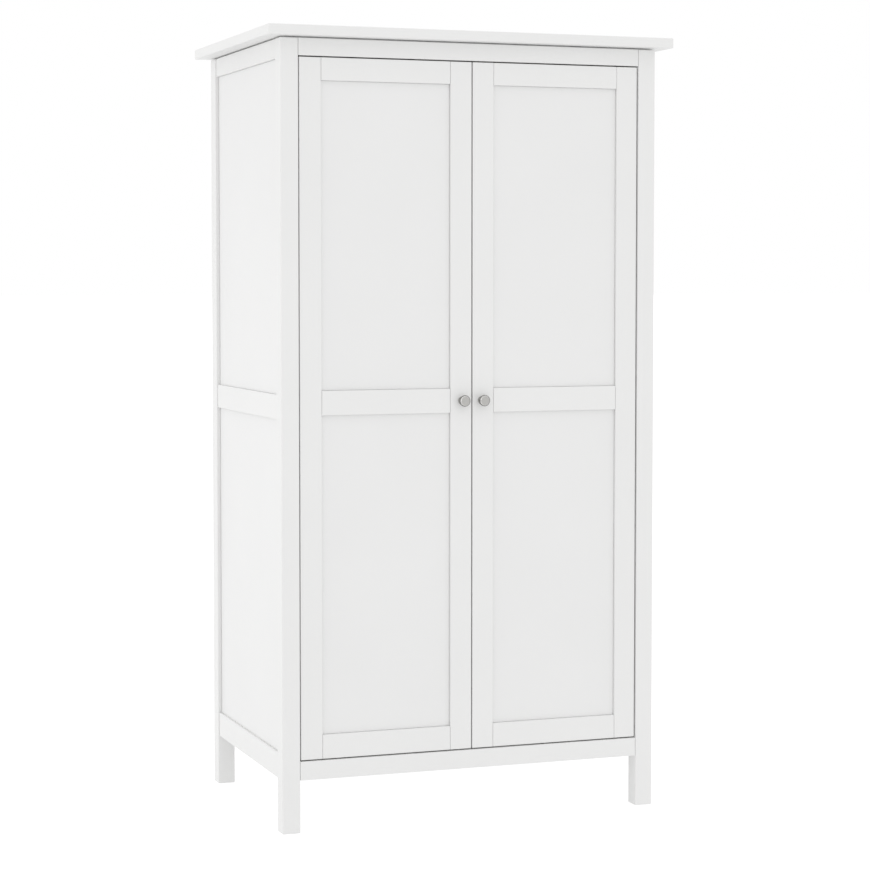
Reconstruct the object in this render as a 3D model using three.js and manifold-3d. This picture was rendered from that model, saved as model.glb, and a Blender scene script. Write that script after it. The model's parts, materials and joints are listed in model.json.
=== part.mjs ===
// White two-door wardrobe: a frame-and-panel carcass on four square posts, two inset panelled
// doors on concealed cup hinges, a hat shelf and a hanging rail.
// Millimetres, +Z up. The origin is the centre of the footprint at floor level, the front faces
// -Y, and +X is the right-hand side for a person standing in front of the doors.

import * as THREE from 'three';
import { mergeVertices } from 'three/addons/utils/BufferGeometryUtils.js';
import Module from 'manifold-3d';

const wasm = await Module();
wasm.setup();

// ---------------------------------------------------------------- driving dimensions

// Overall size, over the top board.
const WIDTH = 1056;
const DEPTH = 715;
const HEIGHT = 1950;

// Top board. It bears on the frame by a thin pad, which leaves a shadow gap below its overhang.
const BOARD_THICK = 25;
const SHADOW_GAP = 3;
const PAD_SET_BACK = 14;
const SIDE_OVERHANG = 37;
const FRONT_OVERHANG = 30;
const BACK_OVERHANG = 25;

// Posts, rails and panels.
const POST = 45;
const FRAME_THICK = 22;
const PANEL_THICK = 6;
const BACK_PANEL_THICK = 4;
const TONGUE = 6;
const FIT = 0.3;
const RAIL_RECESS = 1;
const DOOR_RECESS = 4;
const SIDE_RECESS = 3;
const DOOR_PANEL_RECESS = 8;
const SIDE_PANEL_RECESS = 7;
const LEG_CLEAR = 129;
const FRONT_TOP_RAIL = 42;
const FRONT_BOTTOM_RAIL = 46;
const SIDE_TOP_RAIL = 47;
const SIDE_MIDDLE_RAIL = 60;
const SIDE_MIDDLE_CENTRE = 1036;
const SIDE_BOTTOM_RAIL = 62;

// Doors.
const DOOR_GAP = 3;
const DOOR_STILE = 55;
const DOOR_TOP_RAIL = 55;
const DOOR_MIDDLE_RAIL = 60;
const DOOR_MIDDLE_CENTRE = 1046;
const DOOR_BOTTOM_RAIL = 59;

// Knobs.
const KNOB_FROM_MIDDLE = 26;
const KNOB_RADIUS = 14;
const KNOB_REACH = 24;
const KNOB_SHOULDER = 3;

// Interior.
const FLOOR_THICK = 16;
const CLEAT_THICK = 20;
const HINGE_CLEAT_DEPTH = 45;
const SHELF_THICK = 18;
const SHELF_TOP = 1636;
const SHELF_CLEAT_HEIGHT = 28;
const HANGING_RAIL_HEIGHT = 30;
const HANGING_RAIL_WIDTH = 15;
const HANGING_RAIL_WALL = 1.2;
const HANGING_RAIL_Y = 10;
const HANGING_RAIL_Z = 1560;
const BRACKET_THICK = 3;
const BRACKET_WIDTH = 40;
const COLLAR_LENGTH = 12;
const COLLAR_WALL = 2;

// Concealed hinges.
const CUP_RADIUS = 17.5;
const CUP_WALL = 1.2;
const CUP_DEPTH = 11.3;
const CUP_FROM_EDGE = 22.5;
const FLANGE_THICK = 1.5;
const FLANGE_RADIUS = 19;
const FLANGE_LENGTH = 64;
const FLANGE_WIDTH = 15;
const FLANGE_OFFSET = 6;
const ARM_WIDTH = 14;
const PLATE_THICK = 2;
const PLATE_LENGTH = 50;
const HINGE_FROM_END = 100;
const ROUND_STEPS = 32;

// ---------------------------------------------------------------- derived faces

const postOut = WIDTH / 2 - SIDE_OVERHANG;
const postIn = postOut - POST;
const front = -DEPTH / 2 + FRONT_OVERHANG;
const back = DEPTH / 2 - BACK_OVERHANG;
const boardUnder = HEIGHT - BOARD_THICK;
const postTop = boardUnder - SHADOW_GAP;

const doorFace = front + DOOR_RECESS;
const doorBack = doorFace + FRAME_THICK;
const sideOut = postOut - SIDE_RECESS;
const sideIn = sideOut - FRAME_THICK;
const backOut = back - SIDE_RECESS;
const backIn = backOut - FRAME_THICK;
const sideFront = front + POST;
const sideBack = back - POST;

const doorBottom = LEG_CLEAR + FRONT_BOTTOM_RAIL + DOOR_GAP;
const doorTop = postTop - FRONT_TOP_RAIL - DOOR_GAP;
const doorHingeEdge = postIn - DOOR_GAP;
const doorMeetingEdge = DOOR_GAP / 2;
const floorTop = LEG_CLEAR + FRONT_BOTTOM_RAIL;
const shelfUnder = SHELF_TOP - SHELF_THICK;
const cleatIn = postIn;
const cleatOut = postIn + CLEAT_THICK;

const doorRails = railHeights(doorBottom, doorTop, DOOR_BOTTOM_RAIL, DOOR_TOP_RAIL,
  DOOR_MIDDLE_CENTRE, DOOR_MIDDLE_RAIL);
const sideRails = railHeights(LEG_CLEAR, postTop, SIDE_BOTTOM_RAIL, SIDE_TOP_RAIL,
  SIDE_MIDDLE_CENTRE, SIDE_MIDDLE_RAIL);
const hingeHeights = {
  bottom: doorBottom + HINGE_FROM_END,
  middle: (doorBottom + doorTop) / 2,
  top: doorTop - HINGE_FROM_END,
};
const SIDES = { left: -1, right: 1 };

// Heights of the three rails of a frame, and of the two panels that they hold.
function railHeights(low, high, bottomRail, topRail, middleCentre, middleRail) {
  const bottom = [low, low + bottomRail];
  const middle = [middleCentre - middleRail / 2, middleCentre + middleRail / 2];
  const top = [high - topRail, high];
  const lower = [bottom[1], middle[0]];
  const upper = [middle[1], top[0]];
  return { rails: { bottom, middle, top }, panels: { lower, upper } };
}

// ---------------------------------------------------------------- materials

function whitePaint() {
  return new THREE.MeshStandardMaterial({ color: 0xf0f0ee, roughness: 0.42, metalness: 0 });
}

function whitePanel() {
  return new THREE.MeshStandardMaterial({ color: 0xf2f2f0, roughness: 0.45, metalness: 0 });
}

function whiteBoard() {
  return new THREE.MeshStandardMaterial({ color: 0xeeeeeb, roughness: 0.5, metalness: 0 });
}

function brushedNickel() {
  return new THREE.MeshStandardMaterial({ color: 0xb4b3b0, roughness: 0.32, metalness: 1 });
}

function nickelPlate() {
  return new THREE.MeshStandardMaterial({ color: 0xc2c2c0, roughness: 0.28, metalness: 1 });
}

function polishedSteel() {
  return new THREE.MeshStandardMaterial({ color: 0xcfd0d0, roughness: 0.15, metalness: 1 });
}

// ---------------------------------------------------------------- solids

// A closed three.js geometry as a solid that can be joined and cut.
function toSolid(geometry) {
  const bare = geometry.index ? geometry.toNonIndexed() : geometry.clone();
  bare.deleteAttribute('normal');
  bare.deleteAttribute('uv');
  const merged = mergeVertices(bare, 1e-4);
  return new wasm.Manifold(new wasm.Mesh({
    numProp: 3,
    vertProperties: new Float32Array(merged.attributes.position.array),
    triVerts: new Uint32Array(merged.index.array),
  }));
}

function toGeometry(solid) {
  const { vertProperties, triVerts } = solid.getMesh();
  const geometry = new THREE.BufferGeometry();
  geometry.setAttribute('position', new THREE.BufferAttribute(vertProperties, 3));
  geometry.setIndex(new THREE.BufferAttribute(triVerts, 1));
  const flat = geometry.toNonIndexed();
  flat.computeVertexNormals();
  return flat;
}

function range(a, b) {
  return a < b ? [a, b] : [b, a];
}

function grown([low, high], by) {
  return [low - by, high + by];
}

// A box geometry given by its lowest and highest x, y and z.
function boxGeometry(x, y, z) {
  const box = new THREE.BoxGeometry(x[1] - x[0], y[1] - y[0], z[1] - z[0]);
  return box.translate((x[0] + x[1]) / 2, (y[0] + y[1]) / 2, (z[0] + z[1]) / 2);
}

// A disc whose axis lies along Y, from one y to another.
function discGeometry(radius, y, x, z) {
  const disc = new THREE.CylinderGeometry(radius, radius, y[1] - y[0], ROUND_STEPS);
  return disc.translate(x, (y[0] + y[1]) / 2, z);
}

function piece(name, material, geometry) {
  const mesh = new THREE.Mesh(geometry, material);
  mesh.name = name;
  return mesh;
}

// A squared piece of wood between two corners, placed by its middle, with the named boxes or
// discs cut out of it.
function timber(name, material, x, y, z, cuts = []) {
  const middle = [x, y, z].map(([low, high]) => (low + high) / 2);
  const size = [x, y, z].map(([low, high]) => high - low);
  let geometry = new THREE.BoxGeometry(...size);
  if (cuts.length > 0) {
    const solid = cuts.reduce((whole, cut) => {
      const moved = cut.clone().translate(-middle[0], -middle[1], -middle[2]);
      return whole.subtract(toSolid(moved));
    }, toSolid(geometry));
    geometry = toGeometry(solid);
  }
  const mesh = piece(name, material, geometry);
  mesh.position.set(...middle);
  return mesh;
}

// ---------------------------------------------------------------- carcass

function topBoard() {
  const slab = boxGeometry([-WIDTH / 2, WIDTH / 2], [-DEPTH / 2, DEPTH / 2],
    [boardUnder, HEIGHT]);
  const reach = postOut - PAD_SET_BACK;
  const pad = boxGeometry([-reach, reach], [front + PAD_SET_BACK, back - PAD_SET_BACK],
    [postTop, boardUnder + 1]);
  return piece('top_board', whitePaint(), toGeometry(toSolid(slab).add(toSolid(pad))));
}

// The groove that holds a side panel's edge, as its x range on the given side.
function sideGroove(side) {
  const outer = sideOut - SIDE_PANEL_RECESS;
  return range(side * (outer + FIT), side * (outer - PANEL_THICK - FIT));
}

function backGroove() {
  const outer = backOut - SIDE_PANEL_RECESS;
  return [outer - BACK_PANEL_THICK - FIT, outer + FIT];
}

function posts() {
  const rows = {
    front: { y: [front, front + POST], groove: [sideFront - TONGUE - FIT, sideFront + 1] },
    back: { y: [back - POST, back], groove: [sideBack - 1, sideBack + TONGUE + FIT] },
  };
  return Object.entries(SIDES).flatMap(([sideName, side]) => (
    Object.entries(rows).map(([rowName, row]) => {
      const grooves = Object.values(sideRails.panels).map((z) => (
        boxGeometry(sideGroove(side), row.groove, grown(z, TONGUE + FIT))
      ));
      if (rowName === 'back') {
        const x = range(side * (postIn - 1), side * (postIn + TONGUE + FIT));
        Object.values(sideRails.panels).forEach((z) => {
          grooves.push(boxGeometry(x, backGroove(), grown(z, TONGUE + FIT)));
        });
      }
      const x = range(side * postIn, side * postOut);
      return timber(`${sideName}_${rowName}_post`, whitePaint(), x, row.y, [0, postTop], grooves);
    })
  ));
}

// The z ranges of the grooves along a rail's panel edges.
function railGrooves(railName, z) {
  const below = [z[0] - 1, z[0] + TONGUE + FIT];
  const above = [z[1] - TONGUE - FIT, z[1] + 1];
  return { bottom: [above], middle: [below, above], top: [below] }[railName];
}

function sideFrame(sideName, side) {
  const y = [sideFront, sideBack];
  const pieces = Object.entries(sideRails.rails).map(([railName, z]) => {
    const cuts = railGrooves(railName, z).map((groove) => (
      boxGeometry(sideGroove(side), grown(y, 1), groove)
    ));
    const x = range(side * sideOut, side * sideIn);
    return timber(`${sideName}_side_${railName}_rail`, whitePaint(), x, y, z, cuts);
  });
  const outer = sideOut - SIDE_PANEL_RECESS;
  const panelX = range(side * outer, side * (outer - PANEL_THICK));
  Object.entries(sideRails.panels).forEach(([panelName, z]) => {
    pieces.push(timber(`${sideName}_side_${panelName}_panel`, whitePanel(), panelX,
      grown(y, TONGUE), grown(z, TONGUE)));
  });
  return pieces;
}

function backFrame() {
  const x = [-postIn, postIn];
  const pieces = Object.entries(sideRails.rails).map(([railName, z]) => {
    const cuts = railGrooves(railName, z).map((groove) => (
      boxGeometry(grown(x, 1), backGroove(), groove)
    ));
    return timber(`back_${railName}_rail`, whitePaint(), x, [backIn, backOut], z, cuts);
  });
  const outer = backOut - SIDE_PANEL_RECESS;
  Object.entries(sideRails.panels).forEach(([panelName, z]) => {
    pieces.push(timber(`back_${panelName}_panel`, whiteBoard(), grown(x, TONGUE),
      [outer - BACK_PANEL_THICK, outer], grown(z, TONGUE)));
  });
  return pieces;
}

// The front rails stand almost flush with the posts, and end level with the backs of the doors.
function frontRails() {
  const x = [-postIn, postIn];
  const y = [front + RAIL_RECESS, doorBack];
  return [
    timber('front_top_rail', whitePaint(), x, y, [postTop - FRONT_TOP_RAIL, postTop]),
    timber('front_bottom_rail', whitePaint(), x, y, [LEG_CLEAR, floorTop]),
  ];
}

// ---------------------------------------------------------------- interior

// The wardrobe's floor, notched round the four posts.
function floorBoard() {
  const z = [floorTop - FLOOR_THICK, floorTop];
  const notches = Object.values(SIDES).flatMap((side) => [
    boxGeometry(range(side * postIn, side * (sideIn + 1)), [doorBack - 1, sideFront], grown(z, 1)),
    boxGeometry(range(side * postIn, side * (sideIn + 1)), [sideBack, backIn + 1], grown(z, 1)),
  ]);
  return timber('floor_board', whiteBoard(), [-sideIn, sideIn], [doorBack, backIn], z, notches);
}

function cleats(sideName, side) {
  const x = range(side * cleatIn, side * cleatOut);
  const hingeBack = sideFront + HINGE_CLEAT_DEPTH;
  return [
    timber(`${sideName}_hinge_cleat`, whitePaint(), x, [sideFront, hingeBack], [floorTop, postTop]),
    timber(`${sideName}_shelf_cleat`, whitePaint(), x, [hingeBack, sideBack],
      [shelfUnder - SHELF_CLEAT_HEIGHT, shelfUnder]),
  ];
}

function hatShelf() {
  const setBack = 2;
  const y = [sideFront + HINGE_CLEAT_DEPTH + setBack, sideBack - setBack];
  return timber('hat_shelf', whiteBoard(), [-sideIn, sideIn], y, [shelfUnder, SHELF_TOP]);
}

// An upright oval with round ends, drawn in the XY plane with its height along Y.
function ovalPath(path, width, height) {
  const radius = width / 2;
  const straight = height / 2 - radius;
  path.moveTo(radius, -straight);
  path.lineTo(radius, straight);
  path.absarc(0, straight, radius, 0, Math.PI, false);
  path.lineTo(-radius, -straight);
  path.absarc(0, -straight, radius, Math.PI, 2 * Math.PI, false);
  return path;
}

// An oval tube along X, from one x to another, round the hanging rail's centre line.
function ovalTube(width, height, wall, x) {
  const shape = ovalPath(new THREE.Shape(), width, height);
  shape.holes.push(ovalPath(new THREE.Path(), width - 2 * wall, height - 2 * wall));
  const options = { depth: x[1] - x[0], bevelEnabled: false, curveSegments: ROUND_STEPS / 4 };
  const tube = new THREE.ExtrudeGeometry(shape, options);
  return tube.rotateX(Math.PI / 2).rotateZ(Math.PI / 2).translate(x[0], 0, 0);
}

function hangingRail() {
  const end = postIn - BRACKET_THICK - FIT;
  const tube = ovalTube(HANGING_RAIL_WIDTH, HANGING_RAIL_HEIGHT, HANGING_RAIL_WALL, [-end, end]);
  const mesh = piece('hanging_rail', polishedSteel(), tube);
  mesh.position.set(0, HANGING_RAIL_Y, HANGING_RAIL_Z);
  return mesh;
}

// The rail's end bracket: a plate screwed to the shelf cleat, and a collar round the rail.
function railBracket(sideName, side) {
  const grow = 2 * (FIT + COLLAR_WALL);
  const plateIn = postIn - BRACKET_THICK;
  const plateX = range(side * plateIn, side * postIn);
  const plateZ = [-HANGING_RAIL_HEIGHT / 2 - 8, shelfUnder - FIT - HANGING_RAIL_Z];
  const plate = boxGeometry(plateX, [-BRACKET_WIDTH / 2, BRACKET_WIDTH / 2], plateZ);
  const collarX = range(side * (plateIn - COLLAR_LENGTH), side * (plateIn + 1));
  const collar = ovalTube(HANGING_RAIL_WIDTH + grow, HANGING_RAIL_HEIGHT + grow, COLLAR_WALL,
    collarX);
  const solid = toSolid(plate).add(toSolid(collar));
  const mesh = piece(`${sideName}_rail_bracket`, nickelPlate(), toGeometry(solid));
  mesh.position.set(0, HANGING_RAIL_Y, HANGING_RAIL_Z);
  return mesh;
}

// ---------------------------------------------------------------- doors

// A door lies in its opening with an equal gap all round. Its hinge stile is bored from behind
// for the three hinge cups.
function door(sideName, side) {
  const y = [doorFace, doorBack];
  const panelY = [doorFace + DOOR_PANEL_RECESS, doorFace + DOOR_PANEL_RECESS + PANEL_THICK];
  const grooveY = grown(panelY, FIT);
  const outer = doorHingeEdge - DOOR_STILE;
  const inner = doorMeetingEdge + DOOR_STILE;
  const railX = range(side * inner, side * outer);
  const panelSpans = Object.values(doorRails.panels).map((z) => grown(z, TONGUE + FIT));

  const stile = (edge, joint, inward) => {
    const grooveX = range(side * (joint - inward), side * (joint + inward * (TONGUE + FIT)));
    const grooves = panelSpans.map((z) => boxGeometry(grooveX, grooveY, z));
    return { x: range(side * edge, side * joint), cuts: grooves };
  };
  const hingeStile = stile(doorHingeEdge, outer, 1);
  const meetingStile = stile(doorMeetingEdge, inner, -1);
  const cupX = side * (doorHingeEdge - CUP_FROM_EDGE);
  const boreY = [doorBack - CUP_DEPTH - FIT, doorBack + 1];
  const bores = Object.values(hingeHeights).map((z) => (
    discGeometry(CUP_RADIUS + FIT, boreY, cupX, z)
  ));

  const high = [doorBottom, doorTop];
  const pieces = [
    timber(`${sideName}_door_hinge_stile`, whitePaint(), hingeStile.x, y, high,
      [...hingeStile.cuts, ...bores]),
    timber(`${sideName}_door_meeting_stile`, whitePaint(), meetingStile.x, y, high,
      meetingStile.cuts),
  ];
  Object.entries(doorRails.rails).forEach(([railName, z]) => {
    const cuts = railGrooves(railName, z).map((groove) => (
      boxGeometry(grown(railX, 1), grooveY, groove)
    ));
    pieces.push(timber(`${sideName}_door_${railName}_rail`, whitePaint(), railX, y, z, cuts));
  });
  Object.entries(doorRails.panels).forEach(([panelName, z]) => {
    pieces.push(timber(`${sideName}_door_${panelName}_panel`, whitePanel(), grown(railX, TONGUE),
      panelY, grown(z, TONGUE)));
  });
  return pieces;
}

// A round knob: foot, waist, flare, rim and a flat face inside a sloped shoulder.
function knob(sideName, side) {
  const rim = 1.2;
  const rimFrom = KNOB_REACH - 8;
  const outline = [
    [0, 0], [10.6, 0], [10.6, 1.5], [9.5, 3], [9.7, 7], [11, 12], [KNOB_RADIUS - rim, rimFrom],
    [KNOB_RADIUS, rimFrom + rim], [KNOB_RADIUS, KNOB_REACH - KNOB_SHOULDER],
    [KNOB_RADIUS - KNOB_SHOULDER, KNOB_REACH], [0, KNOB_REACH],
  ].map(([radius, reach]) => new THREE.Vector2(radius, reach));
  const geometry = new THREE.LatheGeometry(outline, ROUND_STEPS);
  const mesh = piece(`${sideName}_knob`, brushedNickel(), geometry);
  mesh.rotation.x = Math.PI;
  mesh.position.set(side * KNOB_FROM_MIDDLE, doorFace - FIT, DOOR_MIDDLE_CENTRE);
  return mesh;
}

// ---------------------------------------------------------------- hinges

// The cup that is let into the door, with the flange that carries its two screws.
function hingeCup(sideName, side, level, z) {
  const flangeY = [0, FLANGE_THICK];
  const offset = -side * FLANGE_OFFSET;
  const flange = boxGeometry(grown([offset, offset], FLANGE_WIDTH / 2), flangeY,
    [-FLANGE_LENGTH / 2, FLANGE_LENGTH / 2]);
  const hollow = discGeometry(CUP_RADIUS - CUP_WALL, [CUP_WALL - CUP_DEPTH, FLANGE_THICK + 1],
    0, 0);
  const solid = toSolid(discGeometry(CUP_RADIUS, [-CUP_DEPTH, FLANGE_THICK], 0, 0))
    .add(toSolid(discGeometry(FLANGE_RADIUS, flangeY, 0, 0)))
    .add(toSolid(flange))
    .subtract(toSolid(hollow));
  const mesh = piece(`${sideName}_hinge_cup_${level}`, nickelPlate(), toGeometry(solid));
  mesh.position.set(side * (doorHingeEdge - CUP_FROM_EDGE), doorBack, z);
  return mesh;
}

// The cranked arm: it lies along the post and the cleat, and its nose reaches round into the
// open cup. The outline is drawn as distance from the door's hinge edge and from its face, and
// every point of it stays outside the path of the door's swinging edge.
function hingeArm(sideName, side, level, z) {
  const foot = -DOOR_GAP;
  const outline = [
    [foot, 78], [foot, 31], [4, 28.5], [21, 26.5], [27.5, 20], [27.5, 13.6], [33.5, 13.6],
    [33.5, 21], [28, 30], [18, 34], [8, 36], [7, 78],
  ].map(([inward, depth]) => new THREE.Vector2(-side * inward, depth));
  const options = { depth: ARM_WIDTH, bevelEnabled: false };
  const arm = new THREE.ExtrudeGeometry(new THREE.Shape(outline), options);
  arm.translate(0, 0, -ARM_WIDTH / 2);
  const plate = boxGeometry(range(side * DOOR_GAP, side * (DOOR_GAP - PLATE_THICK)), [40, 64],
    [-PLATE_LENGTH / 2, PLATE_LENGTH / 2]);
  const solid = toSolid(arm).add(toSolid(plate));
  const mesh = piece(`${sideName}_hinge_arm_${level}`, nickelPlate(), toGeometry(solid));
  mesh.position.set(side * doorHingeEdge, doorFace, z);
  return mesh;
}

// ---------------------------------------------------------------- assembly

function wardrobe() {
  const carcass = new THREE.Group();
  carcass.add(topBoard(), ...posts(), ...frontRails(), ...backFrame());
  carcass.add(floorBoard(), hatShelf(), hangingRail());
  const whole = new THREE.Group();
  whole.add(carcass);
  Object.entries(SIDES).forEach(([sideName, side]) => {
    carcass.add(...sideFrame(sideName, side), ...cleats(sideName, side));
    carcass.add(railBracket(sideName, side));
    const leaf = new THREE.Group();
    leaf.add(...door(sideName, side), knob(sideName, side));
    Object.entries(hingeHeights).forEach(([level, z]) => {
      leaf.add(hingeCup(sideName, side, level, z));
      carcass.add(hingeArm(sideName, side, level, z));
    });
    whole.add(leaf);
  });
  return whole;
}

const group = wardrobe();

export default group;
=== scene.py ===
"""A white two-door wardrobe. Painted frame-and-panel sides and back stand on four square posts
under an overhanging top board, and two inset doors hang on concealed cup hinges in front of a
hat shelf and a hanging rail.

Everything is in metres, +Z up. The origin is the middle of the footprint on the floor, the front
faces -Y, and +X is the right-hand side for a person who stands in front of the doors.
"""

import json
import math

import bmesh
import bpy
from mathutils import Matrix, Vector

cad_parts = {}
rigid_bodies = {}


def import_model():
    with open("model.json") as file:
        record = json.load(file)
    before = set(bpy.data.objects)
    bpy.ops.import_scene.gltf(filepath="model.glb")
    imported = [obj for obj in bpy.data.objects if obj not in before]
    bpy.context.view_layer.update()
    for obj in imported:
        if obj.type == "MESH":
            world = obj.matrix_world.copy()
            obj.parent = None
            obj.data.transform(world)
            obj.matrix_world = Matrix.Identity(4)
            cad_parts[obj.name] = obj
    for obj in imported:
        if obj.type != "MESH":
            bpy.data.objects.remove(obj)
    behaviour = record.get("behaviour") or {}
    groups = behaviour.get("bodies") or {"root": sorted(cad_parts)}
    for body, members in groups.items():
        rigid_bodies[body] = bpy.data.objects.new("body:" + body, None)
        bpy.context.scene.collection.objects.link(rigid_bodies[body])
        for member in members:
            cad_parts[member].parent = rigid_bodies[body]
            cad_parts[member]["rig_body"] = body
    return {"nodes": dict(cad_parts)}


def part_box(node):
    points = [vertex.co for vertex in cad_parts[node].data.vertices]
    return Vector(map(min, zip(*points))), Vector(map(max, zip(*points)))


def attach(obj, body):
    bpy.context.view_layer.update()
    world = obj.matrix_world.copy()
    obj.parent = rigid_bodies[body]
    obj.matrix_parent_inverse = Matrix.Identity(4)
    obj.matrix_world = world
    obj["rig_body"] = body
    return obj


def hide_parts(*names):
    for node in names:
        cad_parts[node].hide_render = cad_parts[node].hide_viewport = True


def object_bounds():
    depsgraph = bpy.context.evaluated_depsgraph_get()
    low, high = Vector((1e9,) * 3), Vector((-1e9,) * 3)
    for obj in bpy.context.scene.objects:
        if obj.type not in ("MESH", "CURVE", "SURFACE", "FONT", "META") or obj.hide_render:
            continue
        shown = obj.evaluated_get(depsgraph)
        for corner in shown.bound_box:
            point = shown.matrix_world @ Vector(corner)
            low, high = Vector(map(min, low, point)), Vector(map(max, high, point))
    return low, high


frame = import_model()
cad_low, cad_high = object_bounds()

bl_info = {
    "name": "White two-door wardrobe",
    "version": (1, 0, 0),
    "blender": (4, 5, 0),
    "location": "3D View > Sidebar > Wardrobe",
    "description": "Dresses a white panelled wardrobe with two doors, and sets its studio",
    "category": "Add Mesh",
}

MM = 0.001
SIDES = {"left": -1, "right": 1}
ENDS = ("bottom", "middle", "top")
HALVES = ("lower", "upper")
UPRIGHT, ACROSS, DEEP = 2, 0, 1

MERGE = 0.02 * MM
NEAR = 0.05 * MM
FLAT = math.radians(0.5)
CORNER = math.radians(40)
PANEL_TONGUE = 6 * MM
QUIRK_DEPTH = 1.6 * MM
HEAD_HEIGHT = 1.2 * MM
SIDE_LIGHT_PLACE = (-4.4, 0.4, 2.0)
FRONT_LIGHT_PLACE = (0.4, -5.2, 1.7)
SIDE_LIGHT_SIZE = 2.4
FRONT_LIGHT_SIZE = 2.8


# ------------------------ what a user would change


class WARDROBE_PG_sizes(bpy.types.PropertyGroup):
    """Small sizes that the looks add to the frame"""

    post_arris: bpy.props.FloatProperty(
        name="Post arris",
        description="Radius of the eased edges of the four posts",
        default=2.4 * MM,
        unit="LENGTH",
    )
    frame_arris: bpy.props.FloatProperty(
        name="Frame arris",
        description="Radius of the eased edges of rails and stiles, which draws their joint lines",
        default=1.2 * MM,
        unit="LENGTH",
    )
    board_arris: bpy.props.FloatProperty(
        name="Top board arris",
        description="Radius of the eased edges of the top board",
        default=2.0 * MM,
        unit="LENGTH",
    )
    panel_arris: bpy.props.FloatProperty(
        name="Panel arris",
        description="Radius of the eased edges of panels, shelf and floor",
        default=0.7 * MM,
        unit="LENGTH",
    )
    panel_quirk: bpy.props.FloatProperty(
        name="Panel quirk",
        description="Width of the fine groove that rings a panel where it meets its frame",
        default=0.55 * MM,
        unit="LENGTH",
    )
    shoulder_gap: bpy.props.FloatProperty(
        name="Shoulder gap",
        description="Hairline left at each end of a rail, where it meets its post or stile",
        default=0.5 * MM,
        unit="LENGTH",
    )
    metal_arris: bpy.props.FloatProperty(
        name="Metal arris",
        description="Radius of the eased edges of stamped metal",
        default=0.4 * MM,
        unit="LENGTH",
    )
    knob_face: bpy.props.FloatProperty(
        name="Knob face",
        description="Radius of the flat brushed face of a knob",
        default=10.7 * MM,
        unit="LENGTH",
    )
    # Besides shaping the knob, this radius bounds the painted highlight of the shoulder and the
    # painted shade of the rim.
    knob_lip: bpy.props.FloatProperty(
        name="Knob lip",
        description="Radius at which a knob's bright sloped shoulder meets its darker rim",
        default=12.2 * MM,
        unit="LENGTH",
    )
    screw_head: bpy.props.FloatProperty(
        name="Screw head",
        description="Radius of the head of a hinge screw",
        default=3.6 * MM,
        unit="LENGTH",
    )
    catch_place: bpy.props.FloatProperty(
        name="Catch place",
        description="Distance of each magnetic catch from the middle of the wardrobe",
        default=60 * MM,
        unit="LENGTH",
    )


class WARDROBE_PG_finish(bpy.types.PropertyGroup):
    """Colours and finishes"""

    paint: bpy.props.FloatVectorProperty(
        name="Paint",
        description="Satin paint of the frame pieces and the top board",
        default=(0.800, 0.800, 0.795),
        subtype="COLOR",
        min=0.0,
        max=1.0,
    )
    panel: bpy.props.FloatVectorProperty(
        name="Panel paint",
        description="Satin paint of the thin panels",
        default=(0.800, 0.800, 0.797),
        subtype="COLOR",
        min=0.0,
        max=1.0,
    )
    board: bpy.props.FloatVectorProperty(
        name="Board foil",
        description="White foil of the floor, the hat shelf and the back panels",
        default=(0.775, 0.775, 0.765),
        subtype="COLOR",
        min=0.0,
        max=1.0,
    )
    nickel: bpy.props.FloatVectorProperty(
        name="Brushed nickel",
        description="Turned face of the knobs",
        default=(0.470, 0.465, 0.450),
        subtype="COLOR",
        min=0.0,
        max=1.0,
    )
    # Painted highlight: the knob's sloped shoulder is coloured brighter than its face, in place of
    # a reflected light.
    knob_painted_highlight: bpy.props.FloatVectorProperty(
        name="Knob shoulder",
        description="Brighter sloped shoulder round the face of the knobs",
        default=(0.800, 0.795, 0.780),
        subtype="COLOR",
        min=0.0,
        max=1.0,
    )
    # Painted shade: the knob's flank is coloured darker, in place of the dark surroundings it
    # reflects; the plating itself is not darker there.
    knob_painted_shade: bpy.props.FloatVectorProperty(
        name="Knob flank",
        description="Darker plating round the side of the knobs",
        default=(0.220, 0.216, 0.208),
        subtype="COLOR",
        min=0.0,
        max=1.0,
    )
    plate: bpy.props.FloatVectorProperty(
        name="Nickel plate",
        description="Plating of the hinges and the rail brackets",
        default=(0.600, 0.595, 0.580),
        subtype="COLOR",
        min=0.0,
        max=1.0,
    )
    steel: bpy.props.FloatVectorProperty(
        name="Polished steel",
        description="Chromed hanging rail",
        default=(0.700, 0.705, 0.710),
        subtype="COLOR",
        min=0.0,
        max=1.0,
    )
    zinc: bpy.props.FloatVectorProperty(
        name="Zinc",
        description="Screws and the small steel plates of the catches",
        default=(0.540, 0.550, 0.560),
        subtype="COLOR",
        min=0.0,
        max=1.0,
    )
    plastic: bpy.props.FloatVectorProperty(
        name="Catch plastic",
        description="Moulded bodies of the magnetic catches",
        default=(0.720, 0.720, 0.710),
        subtype="COLOR",
        min=0.0,
        max=1.0,
    )
    paint_roughness: bpy.props.FloatProperty(
        name="Paint roughness",
        description="Roughness of the satin paint",
        default=0.42,
        min=0.0,
        max=1.0,
    )
    grain: bpy.props.FloatProperty(
        name="Grain",
        description="How much of the wood's grain shows through the paint",
        default=0.6,
        min=0.0,
        max=1.0,
    )


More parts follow.
